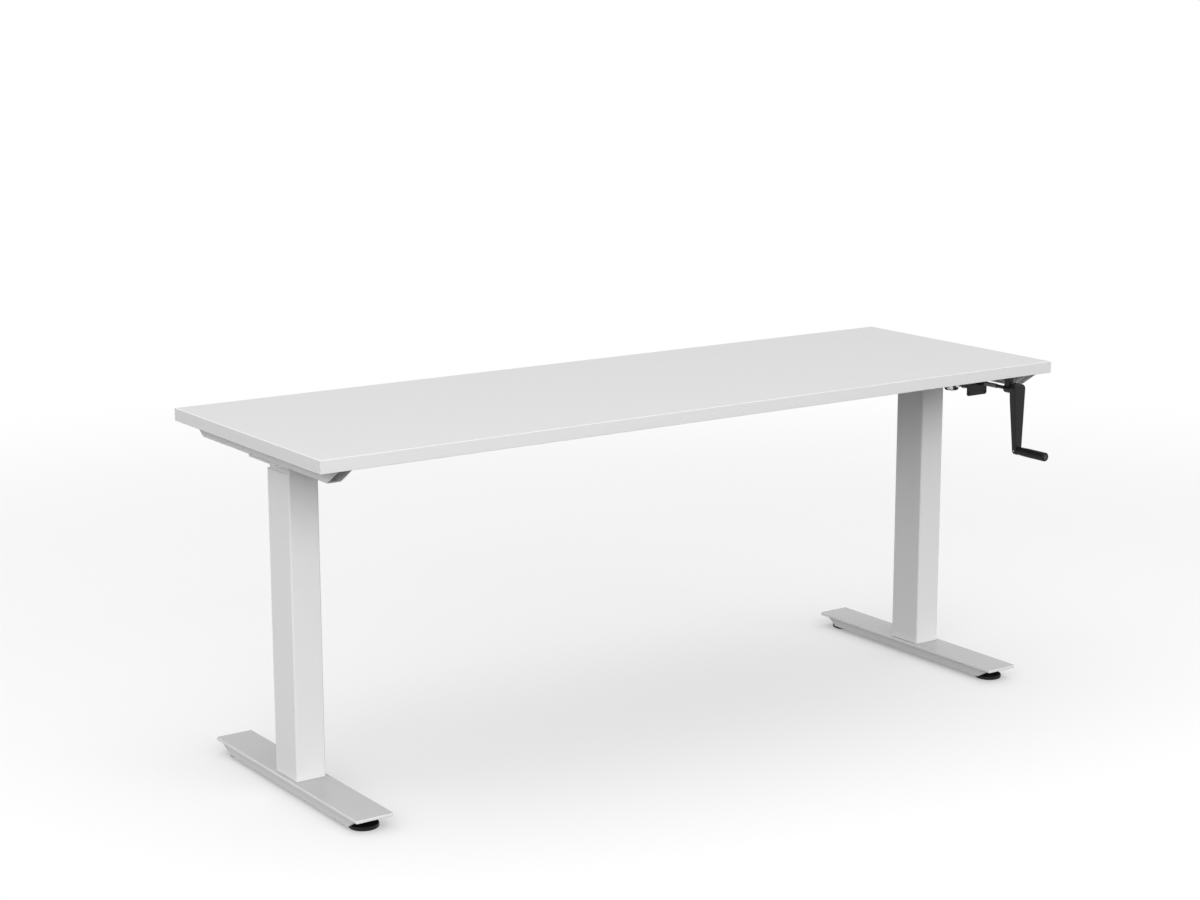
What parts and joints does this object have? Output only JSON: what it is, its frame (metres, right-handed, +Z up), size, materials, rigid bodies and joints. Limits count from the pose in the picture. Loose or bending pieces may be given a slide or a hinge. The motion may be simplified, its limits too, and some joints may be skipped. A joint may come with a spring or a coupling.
{
  "type": "height adjustable standing desk",
  "caption": "Rectangular worktop on two telescopic T-legs, raised and lowered by a hand crank through a gearbox, jointed shaft, cross shaft and spindles.",
  "frame": {"origin": "on the floor, midway between the left and right ends of the worktop, and midway between the crank grip's end and the worktop's rear edge", "axes": "+X along the worktop to the user's right, where the crank is; -Y towards the user; +Z up"},
  "size_m": [1.8, 0.7042, 0.7178],
  "materials": {
    "worktop_face": "white melamine facing on board, fine matt texture",
    "worktop_edge": "white edge band",
    "white_powder_coat": "smooth white powder coat, satin",
    "black_metal": "black coat, satin",
    "black_plastic": "black moulded plastic",
    "bright_steel": "drawn bright bar",
    "spindle_steel": "rolled and greased",
    "gear_steel": "oiled dark steel",
    "nut_bronze": "machined bronze",
    "guide_plastic": "natural white plastic"
  },
  "bodies": {
    "left_base": {"left_foot_plate": "white_powder_coat", "left_foot_rail": "white_powder_coat", "left_outer_column": "white_powder_coat", "left_guide_liner": "guide_plastic", "left_nut_tube": "gear_steel", "left_spindle_nut": "nut_bronze"},
    "top_frame": {"worktop_board": "worktop_face", "front_edge_band": "worktop_edge", "rear_edge_band": "worktop_edge", "left_edge_band": "worktop_edge", "right_edge_band": "worktop_edge", "left_side_bracket": "white_powder_coat", "right_side_bracket": "white_powder_coat", "left_head_plate": "white_powder_coat", "right_head_plate": "white_powder_coat", "front_cross_rail": "white_powder_coat", "rear_cross_rail": "white_powder_coat", "left_inner_column": "white_powder_coat", "right_inner_column": "white_powder_coat", "left_bevel_housing": "gear_steel", "right_bevel_housing": "gear_steel", "gearbox_housing": "black_metal", "gearbox_cover": "black_metal", "crank_hanger": "black_metal", "hanger_bush": "guide_plastic"},
    "right_base": {"right_foot_plate": "white_powder_coat", "right_foot_rail": "white_powder_coat", "right_outer_column": "white_powder_coat", "right_guide_liner": "guide_plastic", "right_nut_tube": "gear_steel", "right_spindle_nut": "nut_bronze"},
    "left_spindle_drive": {"left_spindle": "spindle_steel", "left_spindle_gear": "gear_steel"},
    "right_spindle_drive": {"right_spindle": "spindle_steel", "right_spindle_gear": "gear_steel"},
    "cross_drive": {"cross_shaft": "bright_steel", "left_cross_pinion": "gear_steel", "right_cross_pinion": "gear_steel"},
    "leg_input": {"leg_input_shaft": "bright_steel", "leg_input_pinion": "gear_steel", "leg_input_yoke": "black_metal", "rear_joint_cross": "bright_steel"},
    "slanted_shaft": {"joint_shaft": "bright_steel", "joint_shaft_front_yoke": "black_metal", "joint_shaft_rear_yoke": "black_metal"},
    "gearbox_output": {"gearbox_output_shaft": "bright_steel", "output_gear": "gear_steel", "gearbox_output_yoke": "black_metal", "front_joint_cross": "bright_steel"},
    "crank": {"crank_shaft": "black_metal", "crank_gear": "gear_steel", "crank_shaft_collar": "guide_plastic", "crank_arm": "black_metal", "grip_pin": "bright_steel"},
    "grip": {"crank_grip": "black_plastic"},
    "left_front_foot": {"left_front_levelling_foot": "black_plastic"},
    "left_rear_foot": {"left_rear_levelling_foot": "black_plastic"},
    "right_front_foot": {"right_front_levelling_foot": "black_plastic"},
    "right_rear_foot": {"right_rear_levelling_foot": "black_plastic"}
  },
  "joints": [
    {"name": "lift", "type": "slide", "parent": "left_base", "child": "top_frame", "axis": [0, 0, 1], "range_m": [0, 0.4]},
    {"name": "right_base_stays_down", "type": "slide", "parent": "top_frame", "child": "right_base", "axis": [0, 0, -1], "range_m": [0, 0.4]},
    {"name": "left_spindle_turn", "type": "hinge", "parent": "top_frame", "child": "left_spindle_drive", "pos_m": [-0.797, 0.06015, 0.4], "axis": [0, 0, 1], "continuous": true},
    {"name": "right_spindle_turn", "type": "hinge", "parent": "top_frame", "child": "right_spindle_drive", "pos_m": [0.797, 0.06015, 0.4], "axis": [0, 0, 1], "continuous": true},
    {"name": "cross_shaft_turn", "type": "hinge", "parent": "top_frame", "child": "cross_drive", "pos_m": [0, 0.06015, 0.6402], "axis": [1, 0, 0], "continuous": true},
    {"name": "leg_input_turn", "type": "hinge", "parent": "top_frame", "child": "leg_input", "pos_m": [0.797, -0.04235, 0.6402], "axis": [0, 1, 0], "continuous": true},
    {"name": "joint_shaft_turn", "type": "hinge", "parent": "top_frame", "child": "slanted_shaft", "pos_m": [0.797, -0.09385, 0.65582], "axis": [0, 0.957, -0.2902], "continuous": true},
    {"name": "gearbox_output_turn", "type": "hinge", "parent": "top_frame", "child": "gearbox_output", "pos_m": [0.797, -0.09385, 0.65582], "axis": [0, 1, 0], "continuous": true},
    {"name": "crank_turn", "type": "hinge", "parent": "top_frame", "child": "crank", "pos_m": [0.787, -0.14785, 0.667], "axis": [0, 1, 0], "continuous": true},
    {"name": "grip_spin", "type": "hinge", "parent": "crank", "child": "grip", "pos_m": [0.787, -0.30785, 0.5345], "axis": [0, 1, 0], "continuous": true},
    {"name": "left_front_foot_height", "type": "slide", "parent": "left_base", "child": "left_front_foot", "axis": [0, 0, 1], "range_m": [-0.008, 0]},
    {"name": "left_rear_foot_height", "type": "slide", "parent": "left_base", "child": "left_rear_foot", "axis": [0, 0, 1], "range_m": [-0.008, 0]},
    {"name": "right_front_foot_height", "type": "slide", "parent": "right_base", "child": "right_front_foot", "axis": [0, 0, 1], "range_m": [-0.008, 0]},
    {"name": "right_rear_foot_height", "type": "slide", "parent": "right_base", "child": "right_rear_foot", "axis": [0, 0, 1], "range_m": [-0.008, 0]}
  ],
  "couplings": [
    {"joint": "right_base_stays_down", "follows": "lift", "ratio": 1},
    {"joint": "left_spindle_turn", "follows": "lift", "rad_per_m": -628.32},
    {"joint": "right_spindle_turn", "follows": "lift", "rad_per_m": 628.32},
    {"joint": "cross_shaft_turn", "follows": "lift", "rad_per_m": -1256.6},
    {"joint": "leg_input_turn", "follows": "lift", "rad_per_m": -1256.6},
    {"joint": "joint_shaft_turn", "follows": "lift", "rad_per_m": -1256.6},
    {"joint": "gearbox_output_turn", "follows": "lift", "rad_per_m": -1256.6},
    {"joint": "crank_turn", "follows": "lift", "rad_per_m": 1256.6}
  ]
}
